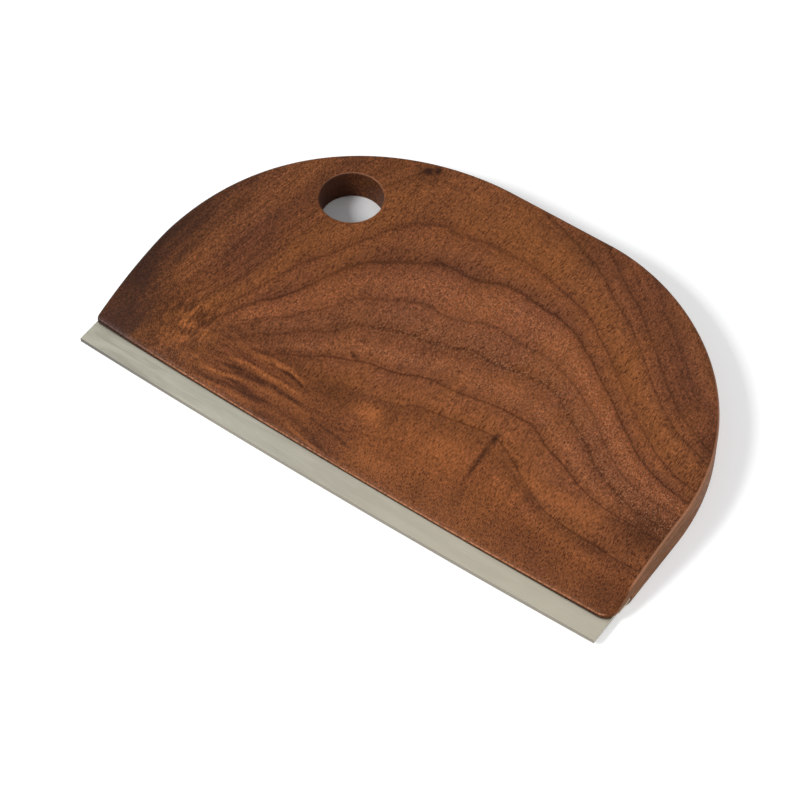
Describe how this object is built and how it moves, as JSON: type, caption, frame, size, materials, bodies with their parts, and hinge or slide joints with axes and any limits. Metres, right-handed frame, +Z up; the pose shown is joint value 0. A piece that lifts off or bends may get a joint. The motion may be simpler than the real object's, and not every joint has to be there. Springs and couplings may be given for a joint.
{
  "type": "dough cutter",
  "caption": "Wooden dough cutter: a flat D-shaped walnut board with a hanging hole, thinned towards a flat steel strip set in a kerf along its front edge.",
  "frame": {"origin": "bottom centre of the whole object's box, on the plane it rests on", "axes": "+X along the steel strip, towards the end away from the hanging hole; +Y from the cutting edge to the back of the board; +Z up out of the top face"},
  "size_m": [0.2044, 0.1306, 0.0127],
  "materials": {
    "walnut": "sanded smooth and oiled, satin",
    "steel": "fine lengthwise brushing, slightly warm grey",
    "epoxy": "cured amber adhesive"
  },
  "bodies": {
    "root": {"walnut_handle": "walnut", "steel_blade": "steel", "epoxy_bond": "epoxy"}
  },
  "joints": []
}
